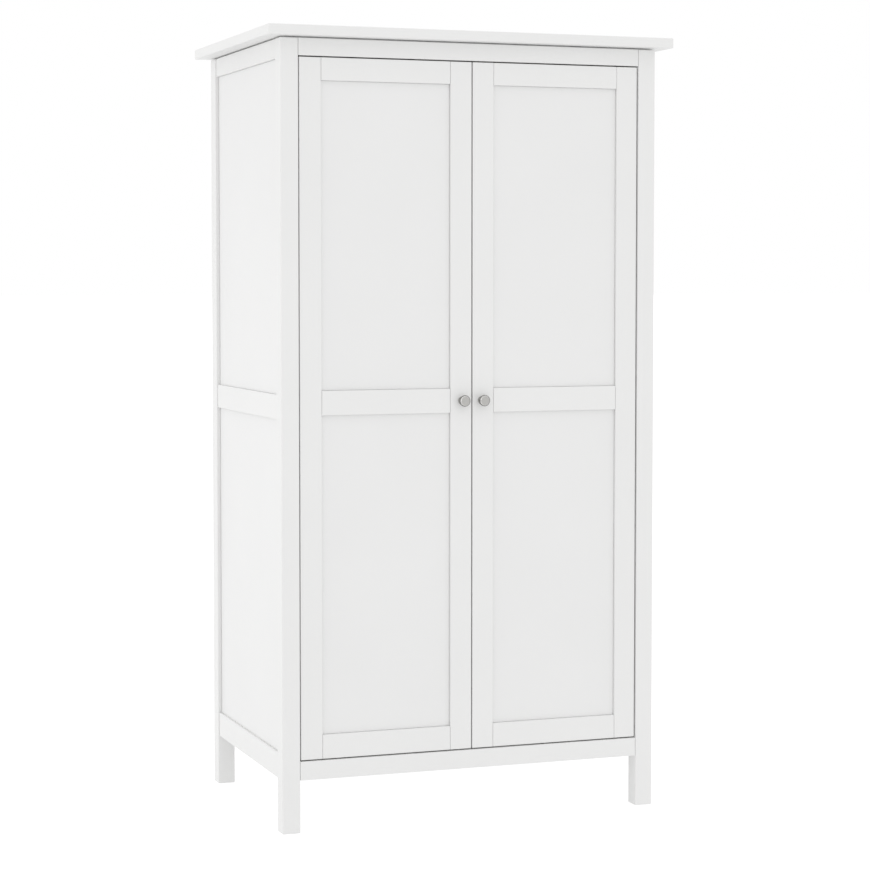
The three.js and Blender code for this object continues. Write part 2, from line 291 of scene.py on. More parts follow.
class WARDROBE_PG_studio(bpy.types.PropertyGroup):
    """The floor, the lights and the camera"""

    camera_place: bpy.props.FloatVectorProperty(
        name="Camera place",
        description="Where the camera stands",
        default=(-2.0595, -5.7669, 1.3536),
        subtype="TRANSLATION",
        unit="LENGTH",
    )
    camera_turn: bpy.props.FloatProperty(
        name="Camera turn",
        description="How far the camera is turned to its right",
        default=math.radians(19.823),
        subtype="ANGLE",
    )
    camera_tilt: bpy.props.FloatProperty(
        name="Camera tilt",
        description="How far the camera looks down",
        default=math.radians(3.127),
        subtype="ANGLE",
    )
    camera_lens: bpy.props.FloatProperty(
        name="Lens",
        description="Focal length in millimetres",
        default=97.53,
    )
    camera_shift: bpy.props.FloatProperty(
        name="Shift",
        description="Vertical shift of the lens, which keeps the uprights nearly upright",
        default=-0.035,
    )
    surround: bpy.props.FloatProperty(
        name="Surround",
        description="Brightness of the surround as a light, at the horizon",
        default=0.72,
        min=0.0,
    )
    zenith: bpy.props.FloatProperty(
        name="Zenith",
        description="Brightness of the surround overhead",
        default=1.25,
        min=0.0,
    )
    side_light: bpy.props.FloatProperty(
        name="Side light",
        description="Power of the large soft light on the left",
        default=25.0,
        min=0.0,
        subtype="POWER",
        unit="POWER",
    )
    front_light: bpy.props.FloatProperty(
        name="Front light",
        description="Power of the large soft light in front, a little to the right",
        default=14.0,
        min=0.0,
        subtype="POWER",
        unit="POWER",
    )
    floor: bpy.props.FloatVectorProperty(
        name="Floor",
        description="Pale floor",
        default=(0.22, 0.22, 0.22),
        subtype="COLOR",
        min=0.0,
        max=1.0,
    )
    floor_light: bpy.props.FloatProperty(
        name="Floor light",
        description="Light that the floor throws up, as a lit white table does",
        default=0.72,
        min=0.0,
    )
    floor_glow: bpy.props.FloatProperty(
        name="Floor glow",
        description="Brightness with which the floor itself shows",
        default=0.84,
        min=0.0,
    )


# ------------------------ forms


def merged(node):
    """A node's mesh as a form of flat faces."""
    form = bmesh.new()
    form.from_mesh(frame["nodes"][node].data)
    bmesh.ops.remove_doubles(form, verts=form.verts, dist=MERGE)
    bmesh.ops.dissolve_limit(
        form,
        angle_limit=FLAT,
        use_dissolve_boundaries=False,
        verts=form.verts,
        edges=form.edges,
        delimit=set(),
    )
    return form


def block(corner, opposite):
    """A rectangular form between two opposite corners."""
    corner = Vector(corner)
    opposite = Vector(opposite)
    size = [abs(b - a) for a, b in zip(corner, opposite)]
    place = Matrix.Translation((corner + opposite) / 2) @ Matrix.Diagonal((*size, 1))
    form = bmesh.new()
    bmesh.ops.create_cube(form, size=1, matrix=place)
    return form


def turned(profile, steps):
    """A closed form spun round the Z axis from (radius, height) points."""
    form = bmesh.new()
    line = [form.verts.new((radius, 0, height)) for radius, height in profile]
    edges = [form.edges.new(pair) for pair in zip(line, line[1:])]
    bmesh.ops.spin(
        form,
        geom=line + edges,
        cent=(0, 0, 0),
        axis=(0, 0, 1),
        angle=math.tau,
        steps=steps,
        use_merge=True,
    )
    bmesh.ops.remove_doubles(form, verts=form.verts, dist=MERGE)
    bmesh.ops.recalc_face_normals(form, faces=form.faces)
    return form


def arc(centre, radii, start, end, steps):
    """Points (radius, height) along an elliptical arc, from one angle to another in degrees."""
    points = []
    for step in range(steps + 1):
        angle = math.radians(start + (end - start) * step / steps)
        across = centre[0] + radii[0] * math.cos(angle)
        along = centre[1] + radii[1] * math.sin(angle)
        points.append((across, along))
    return points


def oval_tube(width, height, wall, start, end, steps=48):
    """An upright oval tube along X, round the X axis."""
    radius = width / 2
    straight = height / 2 - radius
    half_step = Matrix.Rotation(math.pi / steps, 4, "Z")
    stand = Matrix.Rotation(math.pi / 2, 4, "Y") @ Matrix.Rotation(math.pi / 2, 4, "Z")
    form = bmesh.new()
    bmesh.ops.create_circle(form, segments=steps, radius=radius, matrix=stand @ half_step)
    for vert in form.verts:
        vert.co.z += math.copysign(straight, vert.co.z)
    bmesh.ops.translate(form, verts=form.verts, vec=(start, 0, 0))
    wound = bmesh.ops.extrude_edge_only(form, edges=form.edges[:])
    far = [item for item in wound["geom"] if isinstance(item, bmesh.types.BMVert)]
    bmesh.ops.translate(form, verts=far, vec=(end - start, 0, 0))
    bmesh.ops.recalc_face_normals(form, faces=form.faces)
    bmesh.ops.solidify(form, geom=form.faces[:], thickness=wall)
    bmesh.ops.recalc_face_normals(form, faces=form.faces)
    return form


def screw_head(radius, height, steps=16):
    """A cross-recessed pan head that stands on the origin and looks up."""
    recess = 0.52 * radius
    depth = 0.35 * height
    dome = arc((0.62 * radius, 0.35 * height), (0.38 * radius, 0.65 * height), 90, 0, 4)
    profile = [(0, depth), (recess * 0.9, depth), (recess, height), *dome]
    form = turned([*profile, (radius, 0), (0, 0)], steps)
    between = []
    for vert in form.verts:
        across = vert.co.xy.length
        ring = round(math.atan2(vert.co.y, vert.co.x) / math.tau * steps)
        if MERGE < across < recess + NEAR and vert.co.z > NEAR and ring % 4 > 1:
            between.append(vert)
    bmesh.ops.scale(form, vec=(0.34, 0.34, 1), verts=between)
    return form


def joined(forms):
    """Several forms as one."""
    whole = bmesh.new()
    for form in forms:
        carrier = bpy.data.meshes.new("carrier")
        form.to_mesh(carrier)
        form.free()
        whole.from_mesh(carrier)
        bpy.data.meshes.remove(carrier)
    return whole


def stood(form, point, direction):
    """A form made on the origin and looking up, stood on a point and looking in a direction."""
    turn = Vector(direction).to_track_quat("Z", "Y").to_matrix().to_4x4()
    bmesh.ops.transform(form, matrix=Matrix.Translation(point) @ turn, verts=form.verts)
    return form


def box_of(form):
    """The lowest and highest corner of a form."""
    low = Vector([min(vert.co[axis] for vert in form.verts) for axis in range(3)])
    high = Vector([max(vert.co[axis] for vert in form.verts) for axis in range(3)])
    return low, high


def outer_arrises(form):
    """The edges that lie on two faces of the form's own box."""
    low, high = box_of(form)

    def planes(vert):
        found = set()
        for axis in range(3):
            if vert.co[axis] - low[axis] < NEAR:
                found.add((axis, "low"))
            if high[axis] - vert.co[axis] < NEAR:
                found.add((axis, "high"))
        return found

    return [edge for edge in form.edges if len(planes(edge.verts[0]) & planes(edge.verts[1])) > 1]


def on_walls(edge, low, high):
    """Whether an edge lies on the upright walls of a box."""
    return all(
        min(vert.co[axis] - low[axis] for axis in (ACROSS, DEEP)) < NEAR
        or min(high[axis] - vert.co[axis] for axis in (ACROSS, DEEP)) < NEAR
        for vert in edge.verts
    )


def edges_along(form, axis):
    """The edges that run along an axis."""
    return [edge for edge in form.edges
            if abs(edge.verts[0].co[axis] - edge.verts[1].co[axis]) > NEAR]


def sharp_edges(form):
    """The edges at which a form turns a corner."""
    return [edge for edge in form.edges if edge.is_manifold and edge.calc_face_angle() > CORNER]


def ease(form, edges, radius, segments=3):
    """Rounds some of a form's edges."""
    bmesh.ops.bevel(
        form,
        geom=edges,
        offset=radius,
        offset_type="OFFSET",
        affect="EDGES",
        segments=segments,
        profile=0.5,
        clamp_overlap=True,
        material=-1,
    )
    return form


def add_piece(name, form, material, body, nodes=()):
    """A form as a finished piece that rides on a body and stands for the named nodes."""
    for face in form.faces:
        face.smooth = True
    for edge in sharp_edges(form):
        edge.smooth = False
    mesh = bpy.data.meshes.new(name)
    form.to_mesh(mesh)
    form.free()
    mesh.materials.append(material)
    piece = bpy.data.objects.new(name, mesh)
    bpy.context.scene.collection.objects.link(piece)
    shading = piece.modifiers.new("Even shading", "WEIGHTED_NORMAL")
    shading.keep_sharp = True
    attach(piece, body)
    if nodes:
        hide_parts(*nodes)
    return piece


def body_of(node):
    """The body that a node belongs to."""
    return frame["nodes"][node]["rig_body"]


def shortened(form, axis, gap):
    """A form made a little shorter at both ends of an axis."""
    low, high = box_of(form)
    scale = [1, 1, 1]
    scale[axis] = 1 - 2 * gap / (high[axis] - low[axis])
    about = Matrix.Translation(-(low + high) / 2)
    bmesh.ops.scale(form, vec=scale, space=about, verts=form.verts)
    return form


def add_panel(node, way, sizes, material):
    """A thin panel, with a fine groove round the face that looks out, at the frame's edge."""
    way = Vector(way)
    form = merged(node)
    face = max(form.faces, key=lambda item: item.normal.dot(way))
    bmesh.ops.inset_region(form, faces=[face], thickness=PANEL_TONGUE, use_even_offset=True)
    ring = bmesh.ops.inset_region(
        form, faces=[face], thickness=sizes.panel_quirk, use_even_offset=True
    )
    sunk = bmesh.ops.extrude_face_region(form, geom=ring["faces"])
    verts = [item for item in sunk["geom"] if isinstance(item, bmesh.types.BMVert)]
    bmesh.ops.translate(form, verts=verts, vec=-QUIRK_DEPTH * way)
    bmesh.ops.delete(form, geom=ring["faces"], context="FACES")
    return add_timber(node, sizes.panel_arris, material, form)


def add_timber(node, arris, material, form=None):
    """A node, or a form made from it, as a piece of painted wood with eased outer edges."""
    form = form or merged(node)
    ease(form, outer_arrises(form), arris)
    return add_piece(f"{node}_timber", form, material, body_of(node), [node])


def add_rail(node, axis, sizes):
    """A rail along an axis, with a hairline at each end."""
    form = shortened(merged(node), axis, sizes.shoulder_gap)
    return add_timber(node, sizes.frame_arris, frame_paint(axis), form)


# ------------------------ shader parts


def add_node(tree, kind, inputs=None, **settings):
    """A shader node with its settings, and the given values or links on its inputs."""
    made = tree.nodes.new(kind)
    for name, value in settings.items():
        setattr(made, name, value)
    for name, value in (inputs or {}).items():
        if isinstance(value, bpy.types.NodeSocket):
            tree.links.new(value, made.inputs[name])
        else:
            made.inputs[name].default_value = value
    return made


def calculate(tree, operation, first, second, third=0.0):
    """The result of one sum on values or links."""
    values = {0: first, 1: second, 2: third}
    return add_node(tree, "ShaderNodeMath", values, operation=operation).outputs[0]


def blend_colour(tree, share, first, second, kind="MIX"):
    """One colour laid over another by a share."""
    mix = add_node(tree, "ShaderNodeMix", data_type="RGBA", blend_type=kind)
    for place, value in (("Factor_Float", share), ("A_Color", first), ("B_Color", second)):
        socket = next(item for item in mix.inputs if item.identifier == place)
        if isinstance(value, bpy.types.NodeSocket):
            tree.links.new(value, socket)
        else:
            socket.default_value = value
    return next(item for item in mix.outputs if item.identifier == "Result_Color")


def shaded(tree, colour, tone):
    """A colour made darker or lighter by a tone."""
    grey = add_node(tree, "ShaderNodeCombineColor", {"Red": tone, "Green": tone, "Blue": tone})
    return blend_colour(tree, 1.0, colour, grey.outputs["Color"], "MULTIPLY")


def spread(tree, value, low, high, new_low, new_high):
    """A value's range mapped onto a new one, and held inside it."""
    inputs = {
        "Value": value,
        "From Min": low,
        "From Max": high,
        "To Min": new_low,
        "To Max": new_high,
    }
    return add_node(tree, "ShaderNodeMapRange", inputs).outputs["Result"]


def noise(tree, point, scale, detail, roughness=0.6):
    """A cloudy pattern's value at a point."""
    values = {"Vector": point, "Scale": scale, "Detail": detail, "Roughness": roughness}
    return add_node(tree, "ShaderNodeTexNoise", values).outputs["Fac"]


def new_group(name, inputs, outputs):
    """A node group with named sockets, and its input and output nodes."""
    group = bpy.data.node_groups.new(name, "ShaderNodeTree")
    for label, kind in inputs:
        group.interface.new_socket(label, in_out="INPUT", socket_type=f"NodeSocket{kind}")
    for label, kind in outputs:
        group.interface.new_socket(label, in_out="OUTPUT", socket_type=f"NodeSocket{kind}")
    return group, group.nodes.new("NodeGroupInput").outputs, group.nodes.new("NodeGroupOutput")


SKIN_OUTPUTS = [("Colour", "Color"), ("Roughness", "Float"), ("Normal", "Vector")]


def completed(group, out, *results):
    """A skin's group with its results linked to its output node."""
    for (label, kind), result in zip(SKIN_OUTPUTS, results):
        group.links.new(result, out.inputs[label])
    return group


def paint_skin():
    """Sprayed satin paint over planed wood: faint grain and pores, and the gun's fine texture."""
    found = bpy.data.node_groups.get("Paint skin")
    if found:
        return found
    inputs = [
        ("Point", "Vector"),
        ("Grain Point", "Vector"),
        ("Colour", "Color"),
        ("Roughness", "Float"),
        ("Grain", "Float"),
    ]
    group, given, out = new_group("Paint skin", inputs, SKIN_OUTPUTS)
    figure = noise(group, given["Grain Point"], 1.0, 4.0)
    fibres = noise(group, given["Grain Point"], 3.5, 2.0)
    pores = spread(group, fibres, 0.60, 0.72, 0.0, 1.0)
    mist = noise(group, given["Point"], 340.0, 2.0)
    cloud = noise(group, given["Point"], 3.0, 2.0)

    raised = calculate(group, "SUBTRACT", figure, calculate(group, "MULTIPLY", pores, 0.5))
    relief = calculate(group, "MULTIPLY", raised, given["Grain"])
    height = calculate(group, "MULTIPLY_ADD", mist, 0.35, relief)
    bump = {"Height": height, "Strength": 0.22, "Distance": 0.25 * MM}
    normal = add_node(group, "ShaderNodeBump", bump).outputs["Normal"]

    shade = spread(group, cloud, 0.35, 0.65, 0.988, 1.0)
    sunk = calculate(group, "MULTIPLY", pores, given["Grain"])
    worn = calculate(group, "MULTIPLY_ADD", sunk, -0.015, shade)
    colour = shaded(group, given["Colour"], worn)
    gloss = spread(group, mist, 0.3, 0.7, -0.05, 0.05)
    roughness = calculate(group, "ADD", given["Roughness"], gloss)
    return completed(group, out, colour, roughness, normal)


def worked_metal():
    """Metal with fine lines along whatever way its line point is stretched."""
    found = bpy.data.node_groups.get("Worked metal")
    if found:
        return found
    inputs = [
        ("Point", "Vector"),
        ("Line Point", "Vector"),
        ("Colour", "Color"),
        ("Roughness", "Float"),
        ("Line Depth", "Float"),
    ]
    group, given, out = new_group("Worked metal", inputs, SKIN_OUTPUTS)
    lines = noise(group, given["Line Point"], 1.0, 3.0, 0.7)
    haze = noise(group, given["Point"], 90.0, 3.0)

    depth = calculate(group, "MULTIPLY", given["Line Depth"], MM)
    bump = {"Height": lines, "Strength": 0.6, "Distance": depth}
    normal = add_node(group, "ShaderNodeBump", bump).outputs["Normal"]
    shade = spread(group, lines, 0.3, 0.7, 0.90, 1.06)
    haze_shade = spread(group, haze, 0.35, 0.65, 0.96, 1.0)
    tone = calculate(group, "MULTIPLY", shade, haze_shade)
    colour = shaded(group, given["Colour"], tone)
    rub = spread(group, haze, 0.3, 0.7, -0.04, 0.06)
    roughness = calculate(group, "ADD", given["Roughness"], rub)
    return completed(group, out, colour, roughness, normal)


# ------------------------ materials


def new_material(name):
    """An empty material, its node tree, its shader and its object point."""
    material = bpy.data.materials.new(name)
    material.use_nodes = True
    tree = material.node_tree
    shader = next(item for item in tree.nodes if item.type == "BSDF_PRINCIPLED")
    point = tree.nodes.new("ShaderNodeTexCoord").outputs["Object"]
    return material, tree, shader, point


def stretched(tree, point, scale, move=(0, 0, 0)):
    """A point scaled along each axis, and moved."""
    values = {"Vector": point, "Location": move, "Scale": scale}
    return add_node(tree, "ShaderNodeMapping", values).outputs["Vector"]


def dress(tree, shader, group, inputs):
    """Places a shared group in a material and feeds its outputs to the shader."""
    skin = add_node(tree, "ShaderNodeGroup", inputs, node_tree=group)
    tree.links.new(skin.outputs["Colour"], shader.inputs["Base Color"])
    tree.links.new(skin.outputs["Roughness"], shader.inputs["Roughness"])
    tree.links.new(skin.outputs["Normal"], shader.inputs["Normal"])


def along(axis, short, long):
    """A scale that stretches a pattern along one axis."""
    return [long if place == axis else short for place in range(3)]


def painted(name, colour, axis, grain, roughness):
    """Satin paint over wood whose grain runs along an axis."""
    found = bpy.data.materials.get(name)
    if found:
        return found
    material, tree, shader, point = new_material(name)
    inputs = {
        "Point": point,
        "Grain Point": stretched(tree, point, along(axis, 420.0, 9.0)),
        "Colour": (*colour, 1),
        "Roughness": roughness,
        "Grain": grain,
    }
    dress(tree, shader, paint_skin(), inputs)
    return material


def frame_paint(axis):
    """The paint of posts, rails, stiles and the top board."""
    finish = bpy.context.scene.wardrobe_finish
    name = f"Satin paint, grain {'XYZ'[axis]}"
    return painted(name, finish.paint, axis, finish.grain, finish.paint_roughness)


def panel_paint():
    """The paint of the thin panels."""
    finish = bpy.context.scene.wardrobe_finish
    grain = 0.5 * finish.grain
    return painted("Panel paint", finish.panel, UPRIGHT, grain, finish.paint_roughness)


def board_foil(axis):
    """The smooth white foil of floor, shelf and back."""
    finish = bpy.context.scene.wardrobe_finish
    name = f"White foil, grain {'XYZ'[axis]}"
    return painted(name, finish.board, axis, 0.25 * finish.grain, finish.paint_roughness + 0.06)


def moulded_plastic():
    """The catches' white plastic, with the mould's fine texture and no grain."""
    finish = bpy.context.scene.wardrobe_finish
    return painted("Moulded plastic", finish.plastic, UPRIGHT, 0.0, 0.36)


def metal(name, colour, roughness, scale, depth):
    """Bare or plated metal with lines along whatever way the scale stretches them."""
    found = bpy.data.materials.get(name)
    if found:
        return found
    material, tree, shader, point = new_material(name)
    shader.inputs["Metallic"].default_value = 1.0
    inputs = {
        "Point": point,
        "Line Point": stretched(tree, point, scale),
        "Colour": (*colour, 1),
        "Roughness": roughness,
        "Line Depth": depth,
    }
    dress(tree, shader, worked_metal(), inputs)
    return material


def nickel_plate():
    """Rolled and plated sheet steel."""
    finish = bpy.context.scene.wardrobe_finish
    return metal("Nickel plate", finish.plate, 0.26, along(UPRIGHT, 1500.0, 60.0), 0.02)


def polished_steel():
    """The chromed tube, with faint drawing lines along it."""
    finish = bpy.context.scene.wardrobe_finish
    return metal("Polished steel", finish.steel, 0.12, along(ACROSS, 1200.0, 8.0), 0.01)


def zinc():
    """Zinc-plated screws."""
    finish = bpy.context.scene.wardrobe_finish
    return metal("Zinc plate", finish.zinc, 0.34, (1800.0, 1800.0, 1800.0), 0.02)


def turned_nickel(name, centre, face, lip):
    """A knob's nickel: rings turned round its centre, a smoother shoulder coloured brighter as a
    painted highlight, and a flank coloured darker as painted shade.
    """
    finish = bpy.context.scene.wardrobe_finish
    material, tree, shader, point = new_material(name)
    shader.inputs["Metallic"].default_value = 1.0
    centred = stretched(tree, point, (1, 1, 1), (-centre.x, 0, -centre.z))
    flat = {0: centred, 1: (1, 0, 1)}
    disc = add_node(tree, "ShaderNodeVectorMath", flat, operation="MULTIPLY").outputs[0]
    length = add_node(tree, "ShaderNodeVectorMath", {0: disc}, operation="LENGTH")
    radius = length.outputs["Value"]
    depth = add_node(tree, "ShaderNodeSeparateXYZ", {"Vector": centred}).outputs["Y"]
    ring = calculate(tree, "MULTIPLY", radius, 2600.0)
    turn = calculate(tree, "MULTIPLY", depth, 2600.0)
    rings = add_node(tree, "ShaderNodeCombineXYZ", {"X": ring, "Y": turn}).outputs["Vector"]
    fade = 0.2 * MM
    # Mask of the rim and flank, where the colour is darkened to a painted shade.
    flank_shade = spread(tree, radius, lip, lip + fade, 0.0, 1.0)
    # Mask of the sloped shoulder, where the colour gets a painted highlight in place of a
    # reflection.
    bevel = spread(tree, radius, face, face + fade, 0.0, 1.0)
    painted_highlight = blend_colour(tree, bevel, (*finish.nickel, 1), (*finish.knob_painted_highlight, 1))
    colour = blend_colour(tree, flank_shade, painted_highlight, (*finish.knob_painted_shade, 1))
    inputs = {
        "Point": point,
        "Line Point": rings,
        "Colour": colour,
        "Roughness": spread(tree, bevel, 0.0, 1.0, 0.36, 0.24),
        "Line Depth": 0.03,
    }
    dress(tree, shader, worked_metal(), inputs)
    return material


# ------------------------ carcass


class WARDROBE_OT_posts(bpy.types.Operator):
    """Four square painted posts, each of one piece from the foot to the top board"""

    bl_idname = "wardrobe.posts"
    bl_label = "Posts"

    def execute(self, context):
        sizes = context.scene.wardrobe_sizes
        for side in SIDES:
            for row in ("front", "back"):
                node = f"{side}_{row}_post"
                add_timber(node, sizes.post_arris, frame_paint(UPRIGHT))
        return {"FINISHED"}


class WARDROBE_OT_rails(bpy.types.Operator):
    """The rails that join the posts at the front, the back and both sides"""

    bl_idname = "wardrobe.rails"
    bl_label = "Rails"

    def execute(self, context):
        sizes = context.scene.wardrobe_sizes
        across = ["front_top_rail", "front_bottom_rail", *(f"back_{end}_rail" for end in ENDS)]
        deep = [f"{side}_side_{end}_rail" for side in SIDES for end in ENDS]
        for node in across:
            add_rail(node, ACROSS, sizes)
        for node in deep:
            add_rail(node, DEEP, sizes)
        return {"FINISHED"}


class WARDROBE_OT_panels(bpy.types.Operator):
    """The thin panels in the grooves of the sides and the back"""

    bl_idname = "wardrobe.panels"
    bl_label = "Side and back panels"

    def execute(self, context):
        sizes = context.scene.wardrobe_sizes
        for half in HALVES:
            for side, sign in SIDES.items():
                node = f"{side}_side_{half}_panel"
                add_panel(node, (sign, 0, 0), sizes, panel_paint())
            node = f"back_{half}_panel"
            add_panel(node, (0, 1, 0), sizes, board_foil(UPRIGHT))
        return {"FINISHED"}


class WARDROBE_OT_top_board(bpy.types.Operator):
    """The top board, which overhangs the posts all round and bears on them by a thin pad"""

    bl_idname = "wardrobe.top_board"
    bl_label = "Top board"

    def execute(self, context):
        arris = context.scene.wardrobe_sizes.board_arris
        form = merged("top_board")
        low, high = box_of(form)
        rim = [edge for edge in sharp_edges(form) if on_walls(edge, low, high)]
        ease(form, rim, arris)
        add_piece("top_board_timber", form, frame_paint(ACROSS), body_of("top_board"),
                  ["top_board"])
        return {"FINISHED"}


class WARDROBE_OT_interior(bpy.types.Operator):
    """The floor board, the hat shelf and the cleats behind the posts"""

    bl_idname = "wardrobe.interior"
    bl_label = "Floor, shelf and cleats"

    def execute(self, context):
        sizes = context.scene.wardrobe_sizes
        for node in ("floor_board", "hat_shelf"):
            add_timber(node, sizes.panel_arris, board_foil(ACROSS))
        for side in SIDES:
            upright = f"{side}_hinge_cleat"
            deep = f"{side}_shelf_cleat"
            add_timber(upright, sizes.frame_arris, frame_paint(UPRIGHT))
            add_timber(deep, sizes.frame_arris, frame_paint(DEEP))
            self.screw_cleat(side, deep, sizes.screw_head)
        return {"FINISHED"}

    def screw_cleat(self, side, cleat, radius):
        """Three screws that hold a shelf cleat to the side rail."""
        low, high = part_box(cleat)
        inward = -SIDES[side]
        face = low.x if inward < 0 else high.x
        forms = []
        for share in (0.12, 0.5, 0.88):
            point = Vector((face, low.y + share * (high.y - low.y), (low.z + high.z) / 2))
            forms.append(stood(screw_head(radius, HEAD_HEIGHT), point, (inward, 0, 0)))
        add_piece(f"{side}_cleat_screws", joined(forms), zinc(), body_of(cleat))


class WARDROBE_OT_hanging_rail(bpy.types.Operator):
    """The oval hanging rail and the two brackets that hold its ends"""

    bl_idname = "wardrobe.hanging_rail"
    bl_label = "Hanging rail"

    def execute(self, context):
        sizes = context.scene.wardrobe_sizes
        low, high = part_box("hanging_rail")
        axis = (low + high) / 2
        wall = 1.2 * MM
        tube = oval_tube(high.y - low.y, high.z - low.z, wall, low.x, high.x)
        bmesh.ops.translate(tube, verts=tube.verts, vec=(0, axis.y, axis.z))
        body = body_of("hanging_rail")
        add_piece("hanging_rail_tube", tube, polished_steel(), body,
                  ["hanging_rail"])
        for side in SIDES:
            self.bracket(side, axis, high.y - low.y, high.z - low.z, sizes)
        return {"FINISHED"}

    def bracket(self, side, axis, width, height, sizes):
        """A plate with rounded corners, a collar round the rail's end and two screws."""
        node = f"{side}_rail_bracket"
        low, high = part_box(node)
        inward = -SIDES[side]
        outer = low.x if inward > 0 else high.x
        inner = high.x if inward > 0 else low.x
        thick = 3 * MM
        plate_face = outer + inward * thick
        plate = block((outer, low.y, low.z), (plate_face, high.y, high.z))
        ease(plate, edges_along(plate, ACROSS), 6 * MM, 5)
        ease(plate, sharp_edges(plate), sizes.metal_arris, 2)
        wall = 2 * MM
        grow = 2 * wall + 0.6 * MM
        start, end = sorted((plate_face - inward * 0.5 * MM, inner))
        collar = oval_tube(width + grow, height + grow, wall, start, end)
        bmesh.ops.translate(collar, verts=collar.verts, vec=(0, axis.y, axis.z))
        ease(collar, sharp_edges(collar), sizes.metal_arris, 2)
        body = body_of(node)
        add_piece(f"{node}_plated", joined([plate, collar]), nickel_plate(), body,
                  [node])
        forms = []
        reach = (high.z + axis.z + height / 2) / 2
        drop = (low.z + axis.z - height / 2) / 2
        screw_radius = 3.0 * MM
        screw_shift = 13 * MM
        for level in (reach, drop):
            for shift in (-screw_shift, screw_shift):
                point = Vector((plate_face, axis.y + shift, level))
                forms.append(stood(screw_head(screw_radius, HEAD_HEIGHT), point, (inward, 0, 0)))
        add_piece(f"{side}_bracket_screws", joined(forms), zinc(), body)


# ------------------------ doors


class WARDROBE_OT_doors(bpy.types.Operator):
    """Two doors of stiles, rails and recessed flat panels"""

    bl_idname = "wardrobe.doors"
    bl_label = "Doors"

    def execute(self, context):
        sizes = context.scene.wardrobe_sizes
        for side in SIDES:
            for edge in ("hinge", "meeting"):
                node = f"{side}_door_{edge}_stile"
                add_timber(node, sizes.frame_arris, frame_paint(UPRIGHT))
            for end in ENDS:
                add_rail(f"{side}_door_{end}_rail", ACROSS, sizes)
            for half in HALVES:
                node = f"{side}_door_{half}_panel"
                add_panel(node, (0, -1, 0), sizes, panel_paint())
        return {"FINISHED"}


class WARDROBE_OT_knobs(bpy.types.Operator):
    """Two turned nickel knobs, each held by a screw from inside the door"""

    bl_idname = "wardrobe.knobs"
    bl_label = "Knobs"

    def execute(self, context):
        sizes = context.scene.wardrobe_sizes
        for side in SIDES:
            node = f"{side}_knob"
            low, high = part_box(node)
            centre = (low + high) / 2
            radius = (high.x - low.x) / 2
            base = Vector((centre.x, high.y, centre.z))
            face = sizes.knob_face
            lip = sizes.knob_lip
            form = self.knob_form(radius, high.y - low.y, face, lip)
            material = turned_nickel(f"Turned nickel, {side}", centre, face, lip)
            body = body_of(node)
            add_piece(f"{node}_turned", stood(form, base, (0, -1, 0)), material, body,
                      [node])
            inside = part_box(f"{side}_door_meeting_stile")[1].y
            head = stood(screw_head(4.2 * MM, 1.8 * MM), (centre.x, inside, centre.z), (0, 1, 0))
            add_piece(f"{node}_screw", head, zinc(), body)
        return {"FINISHED"}

    def knob_form(self, radius, reach, face, lip):
        """A foot, a hollow waist that flares to the rim, a sloped shoulder and a flat face."""
        sink = 0.5 * MM
        foot = 10.6 * MM
        foot_side = 1.2 * MM
        foot_round = 0.8 * MM
        waist = 9.4 * MM
        waist_height = 5.0 * MM
        flare_top = 17.0 * MM
        edge = 1.1 * MM
        slope = 2.2 * MM
        face_round = 0.3 * MM
        profile = [(0, -sink), (foot, -sink), (foot, foot_side)]
        profile += arc((foot - foot_round, foot_side), (foot_round, foot_round), 0, 90, 4)[1:]
        hollow = radius - edge - waist
        flare = (hollow, flare_top - waist_height)
        profile += arc((radius - edge, waist_height), flare, 190, 90, 14)
        profile += arc((radius - edge, flare_top + edge), (edge, edge), -90, 0, 4)[1:]
        rim = radius - lip
        profile += arc((lip, reach - slope - rim), (rim, rim), 0, 80, 5)
        profile += [(lip, reach - slope), (face + face_round, reach - face_round)]
        profile += [(face, reach), (0, reach)]
        return turned(profile, 64)


# ------------------------ hinges and catches


